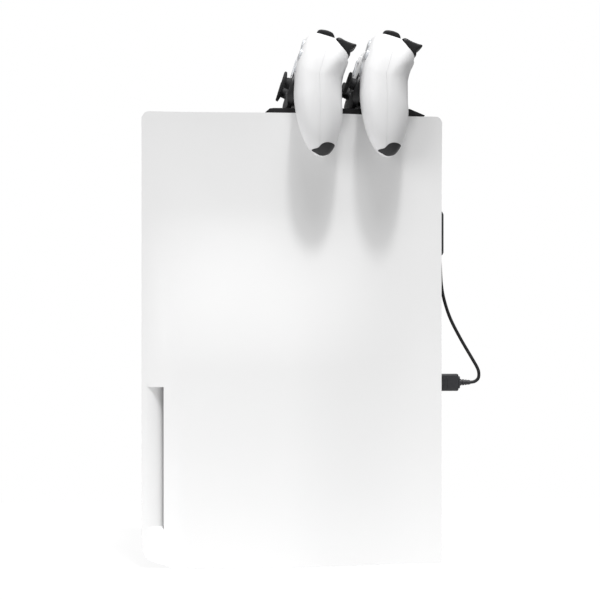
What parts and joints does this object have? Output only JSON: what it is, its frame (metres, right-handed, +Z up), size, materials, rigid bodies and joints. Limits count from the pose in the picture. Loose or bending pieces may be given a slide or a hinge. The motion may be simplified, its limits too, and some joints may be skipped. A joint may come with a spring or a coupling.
{
  "type": "game console with controllers",
  "caption": "Upright slab-shaped disc console with a low charging dock on its top edge and two wireless controllers resting on it.",
  "frame": {"origin": "centre of the footprint on the surface that the console stands on", "axes": "+Z up, -Y the console's narrow front face, +X the side with the disc drive"},
  "size_m": [0.1594, 0.3005, 0.4602],
  "materials": {
    "white_cover": "satin moulded plastic, very slightly glossy",
    "black_core": "gloss black moulded plastic",
    "black_trim": "fine-grained matt black plastic",
    "dock_black": "fine-grained matt black plastic",
    "grip_shell": "off-white plastic with a very fine moulded texture",
    "clear_button": "clear-look gloss plastic",
    "white_key": "off-white plastic",
    "stick_rubber": "matt rubber",
    "grey_plastic": "dark grey moulded plastic",
    "cable_skin": "smooth black cable jacket",
    "port_metal": "plated steel",
    "fins": "bare aluminium",
    "board": "green laminate",
    "gold_pins": "gold plating"
  },
  "bodies": {
    "console": {"side_cover_right": "white_cover", "side_cover_left": "white_cover", "core_shell_right": "black_core", "core_shell_left": "black_core", "front_port_block": "grey_plastic", "rear_port_block": "grey_plastic", "heatsink": "fins", "power_supply": "grey_plastic", "main_board": "board", "disc_drive": "grey_plastic", "dock_base": "dock_black", "dock_cover": "dock_black", "dock_contacts": "gold_pins", "dock_cable": "cable_skin", "usb_plug": "grey_plastic", "cable_clip": "grey_plastic"},
    "fan": {"fan_rotor": "grey_plastic"},
    "spindle": {"disc_spindle": "port_metal"},
    "power_key": {"power_button": "white_key"},
    "eject_key": {"eject_button": "white_key"},
    "pad1": {"pad1_front_shell": "grip_shell", "pad1_rear_shell": "grip_shell", "pad1_trim": "black_trim"},
    "pad1_touchpad_key": {"pad1_touchpad": "grip_shell"},
    "pad1_button_top_key": {"pad1_button_top": "clear_button"},
    "pad1_button_right_key": {"pad1_button_right": "clear_button"},
    "pad1_button_bottom_key": {"pad1_button_bottom": "clear_button"},
    "pad1_button_left_key": {"pad1_button_left": "clear_button"},
    "pad1_dpad_key": {"pad1_dpad": "clear_button"},
    "pad1_create_button_key": {"pad1_create_button": "white_key"},
    "pad1_options_button_key": {"pad1_options_button": "white_key"},
    "pad1_home_button_key": {"pad1_home_button": "black_trim"},
    "pad1_left_bumper_key": {"pad1_left_bumper": "black_trim"},
    "pad1_left_trigger_lever": {"pad1_left_trigger": "black_trim"},
    "pad1_left_stick_gimbal": {"pad1_left_stick_yoke": "grey_plastic"},
    "pad1_left_stick_post": {"pad1_left_stick": "stick_rubber"},
    "pad1_right_bumper_key": {"pad1_right_bumper": "black_trim"},
    "pad1_right_trigger_lever": {"pad1_right_trigger": "black_trim"},
    "pad1_right_stick_gimbal": {"pad1_right_stick_yoke": "grey_plastic"},
    "pad1_right_stick_post": {"pad1_right_stick": "stick_rubber"},
    "pad2": {"pad2_front_shell": "grip_shell", "pad2_rear_shell": "grip_shell", "pad2_trim": "black_trim"},
    "pad2_touchpad_key": {"pad2_touchpad": "grip_shell"},
    "pad2_button_top_key": {"pad2_button_top": "clear_button"},
    "pad2_button_right_key": {"pad2_button_right": "clear_button"},
    "pad2_button_bottom_key": {"pad2_button_bottom": "clear_button"},
    "pad2_button_left_key": {"pad2_button_left": "clear_button"},
    "pad2_dpad_key": {"pad2_dpad": "clear_button"},
    "pad2_create_button_key": {"pad2_create_button": "white_key"},
    "pad2_options_button_key": {"pad2_options_button": "white_key"},
    "pad2_home_button_key": {"pad2_home_button": "black_trim"},
    "pad2_left_bumper_key": {"pad2_left_bumper": "black_trim"},
    "pad2_left_trigger_lever": {"pad2_left_trigger": "black_trim"},
    "pad2_left_stick_gimbal": {"pad2_left_stick_yoke": "grey_plastic"},
    "pad2_left_stick_post": {"pad2_left_stick": "stick_rubber"},
    "pad2_right_bumper_key": {"pad2_right_bumper": "black_trim"},
    "pad2_right_trigger_lever": {"pad2_right_trigger": "black_trim"},
    "pad2_right_stick_gimbal": {"pad2_right_stick_yoke": "grey_plastic"},
    "pad2_right_stick_post": {"pad2_right_stick": "stick_rubber"}
  },
  "joints": [
    {"name": "power_press", "type": "slide", "parent": "console", "child": "power_key", "axis": [0, 1, 0], "range_m": [0, 0.0008], "stiffness_N_per_m": 300},
    {"name": "eject_press", "type": "slide", "parent": "console", "child": "eject_key", "axis": [0, 1, 0], "range_m": [0, 0.0008], "stiffness_N_per_m": 300},
    {"name": "fan_spin", "type": "hinge", "parent": "console", "child": "fan", "pos_m": [0.006, -0.052, 0.3], "axis": [1, 0, 0], "continuous": true},
    {"name": "spindle_spin", "type": "hinge", "parent": "console", "child": "spindle", "pos_m": [0.037, -0.034, 0.0935], "axis": [1, 0, 0], "continuous": true},
    {"name": "pad1_lift", "type": "slide", "parent": "console", "child": "pad1", "axis": [0, 0.2756, 0.9613], "range_m": [0, 0.12]},
    {"name": "pad1_touchpad_press", "type": "slide", "parent": "pad1", "child": "pad1_touchpad_key", "axis": [0, 0.9563, -0.2924], "range_m": [0, 0.0006], "stiffness_N_per_m": 900},
    {"name": "pad1_button_top_press", "type": "slide", "parent": "pad1", "child": "pad1_button_top_key", "axis": [0, 0.9563, -0.2924], "range_m": [0, 0.0012], "stiffness_N_per_m": 350},
    {"name": "pad1_button_right_press", "type": "slide", "parent": "pad1", "child": "pad1_button_right_key", "axis": [0, 0.9563, -0.2924], "range_m": [0, 0.0012], "stiffness_N_per_m": 350},
    {"name": "pad1_button_bottom_press", "type": "slide", "parent": "pad1", "child": "pad1_button_bottom_key", "axis": [0, 0.9563, -0.2924], "range_m": [0, 0.0012], "stiffness_N_per_m": 350},
    {"name": "pad1_button_left_press", "type": "slide", "parent": "pad1", "child": "pad1_button_left_key", "axis": [0, 0.9563, -0.2924], "range_m": [0, 0.0012], "stiffness_N_per_m": 350},
    {"name": "pad1_dpad_press", "type": "slide", "parent": "pad1", "child": "pad1_dpad_key", "axis": [0, 0.9563, -0.2924], "range_m": [0, 0.001], "stiffness_N_per_m": 350},
    {"name": "pad1_create_button_press", "type": "slide", "parent": "pad1", "child": "pad1_create_button_key", "axis": [0, 0.9563, -0.2924], "range_m": [0, 0.0008], "stiffness_N_per_m": 350},
    {"name": "pad1_options_button_press", "type": "slide", "parent": "pad1", "child": "pad1_options_button_key", "axis": [0, 0.9563, -0.2924], "range_m": [0, 0.0008], "stiffness_N_per_m": 350},
    {"name": "pad1_home_button_press", "type": "slide", "parent": "pad1", "child": "pad1_home_button_key", "axis": [0, 0.9563, -0.2924], "range_m": [0, 0.0008], "stiffness_N_per_m": 350},
    {"name": "pad1_left_bumper_press", "type": "slide", "parent": "pad1", "child": "pad1_left_bumper_key", "axis": [0, -0.2924, -0.9563], "range_m": [0, 0.0012], "stiffness_N_per_m": 500},
    {"name": "pad1_left_trigger_pull", "type": "hinge", "parent": "pad1", "child": "pad1_left_trigger_lever", "pos_m": [-0.0514, 0.03837, 0.44981], "axis": [-1, 0, 0], "range_deg": [0, 17], "stiffness_Nm_per_rad": 0.25},
    {"name": "pad1_left_stick_up_down", "type": "hinge", "parent": "pad1", "child": "pad1_left_stick_gimbal", "pos_m": [-0.032, 0.00962, 0.41394], "axis": [1, 0, 0], "range_deg": [-13, 13], "stiffness_Nm_per_rad": 0.08},
    {"name": "pad1_left_stick_side_to_side", "type": "hinge", "parent": "pad1_left_stick_gimbal", "child": "pad1_left_stick_post", "pos_m": [-0.032, 0.00962, 0.41394], "axis": [0, 0.2924, 0.9563], "range_deg": [-13, 13], "stiffness_Nm_per_rad": 0.08},
    {"name": "pad1_right_bumper_press", "type": "slide", "parent": "pad1", "child": "pad1_right_bumper_key", "axis": [0, -0.2924, -0.9563], "range_m": [0, 0.0012], "stiffness_N_per_m": 500},
    {"name": "pad1_right_trigger_pull", "type": "hinge", "parent": "pad1", "child": "pad1_right_trigger_lever", "pos_m": [0.0514, 0.03837, 0.44981], "axis": [-1, 0, 0], "range_deg": [0, 17], "stiffness_Nm_per_rad": 0.25},
    {"name": "pad1_right_stick_up_down", "type": "hinge", "parent": "pad1", "child": "pad1_right_stick_gimbal", "pos_m": [0.032, 0.00962, 0.41394], "axis": [1, 0, 0], "range_deg": [-13, 13], "stiffness_Nm_per_rad": 0.08},
    {"name": "pad1_right_stick_side_to_side", "type": "hinge", "parent": "pad1_right_stick_gimbal", "child": "pad1_right_stick_post", "pos_m": [0.032, 0.00962, 0.41394], "axis": [0, 0.2924, 0.9563], "range_deg": [-13, 13], "stiffness_Nm_per_rad": 0.08},
    {"name": "pad2_lift", "type": "slide", "parent": "console", "child": "pad2", "axis": [0, 0.2756, 0.9613], "range_m": [0, 0.12]},
    {"name": "pad2_touchpad_press", "type": "slide", "parent": "pad2", "child": "pad2_touchpad_key", "axis": [0, 0.9563, -0.2924], "range_m": [0, 0.0006], "stiffness_N_per_m": 900},
    {"name": "pad2_button_top_press", "type": "slide", "parent": "pad2", "child": "pad2_button_top_key", "axis": [0, 0.9563, -0.2924], "range_m": [0, 0.0012], "stiffness_N_per_m": 350},
    {"name": "pad2_button_right_press", "type": "slide", "parent": "pad2", "child": "pad2_button_right_key", "axis": [0, 0.9563, -0.2924], "range_m": [0, 0.0012], "stiffness_N_per_m": 350},
    {"name": "pad2_button_bottom_press", "type": "slide", "parent": "pad2", "child": "pad2_button_bottom_key", "axis": [0, 0.9563, -0.2924], "range_m": [0, 0.0012], "stiffness_N_per_m": 350},
    {"name": "pad2_button_left_press", "type": "slide", "parent": "pad2", "child": "pad2_button_left_key", "axis": [0, 0.9563, -0.2924], "range_m": [0, 0.0012], "stiffness_N_per_m": 350},
    {"name": "pad2_dpad_press", "type": "slide", "parent": "pad2", "child": "pad2_dpad_key", "axis": [0, 0.9563, -0.2924], "range_m": [0, 0.001], "stiffness_N_per_m": 350},
    {"name": "pad2_create_button_press", "type": "slide", "parent": "pad2", "child": "pad2_create_button_key", "axis": [0, 0.9563, -0.2924], "range_m": [0, 0.0008], "stiffness_N_per_m": 350},
    {"name": "pad2_options_button_press", "type": "slide", "parent": "pad2", "child": "pad2_options_button_key", "axis": [0, 0.9563, -0.2924], "range_m": [0, 0.0008], "stiffness_N_per_m": 350},
    {"name": "pad2_home_button_press", "type": "slide", "parent": "pad2", "child": "pad2_home_button_key", "axis": [0, 0.9563, -0.2924], "range_m": [0, 0.0008], "stiffness_N_per_m": 350},
    {"name": "pad2_left_bumper_press", "type": "slide", "parent": "pad2", "child": "pad2_left_bumper_key", "axis": [0, -0.2924, -0.9563], "range_m": [0, 0.0012], "stiffness_N_per_m": 500},
    {"name": "pad2_left_trigger_pull", "type": "hinge", "parent": "pad2", "child": "pad2_left_trigger_lever", "pos_m": [-0.0514, 0.09496, 0.44981], "axis": [-1, 0, 0], "range_deg": [0, 17], "stiffness_Nm_per_rad": 0.25},
    {"name": "pad2_left_stick_up_down", "type": "hinge", "parent": "pad2", "child": "pad2_left_stick_gimbal", "pos_m": [-0.032, 0.06622, 0.41394], "axis": [1, 0, 0], "range_deg": [-13, 13], "stiffness_Nm_per_rad": 0.08},
    {"name": "pad2_left_stick_side_to_side", "type": "hinge", "parent": "pad2_left_stick_gimbal", "child": "pad2_left_stick_post", "pos_m": [-0.032, 0.06622, 0.41394], "axis": [0, 0.2924, 0.9563], "range_deg": [-13, 13], "stiffness_Nm_per_rad": 0.08},
    {"name": "pad2_right_bumper_press", "type": "slide", "parent": "pad2", "child": "pad2_right_bumper_key", "axis": [0, -0.2924, -0.9563], "range_m": [0, 0.0012], "stiffness_N_per_m": 500},
    {"name": "pad2_right_trigger_pull", "type": "hinge", "parent": "pad2", "child": "pad2_right_trigger_lever", "pos_m": [0.0514, 0.09496, 0.44981], "axis": [-1, 0, 0], "range_deg": [0, 17], "stiffness_Nm_per_rad": 0.25},
    {"name": "pad2_right_stick_up_down", "type": "hinge", "parent": "pad2", "child": "pad2_right_stick_gimbal", "pos_m": [0.032, 0.06622, 0.41394], "axis": [1, 0, 0], "range_deg": [-13, 13], "stiffness_Nm_per_rad": 0.08},
    {"name": "pad2_right_stick_side_to_side", "type": "hinge", "parent": "pad2_right_stick_gimbal", "child": "pad2_right_stick_post", "pos_m": [0.032, 0.06622, 0.41394], "axis": [0, 0.2924, 0.9563], "range_deg": [-13, 13], "stiffness_Nm_per_rad": 0.08}
  ]
}
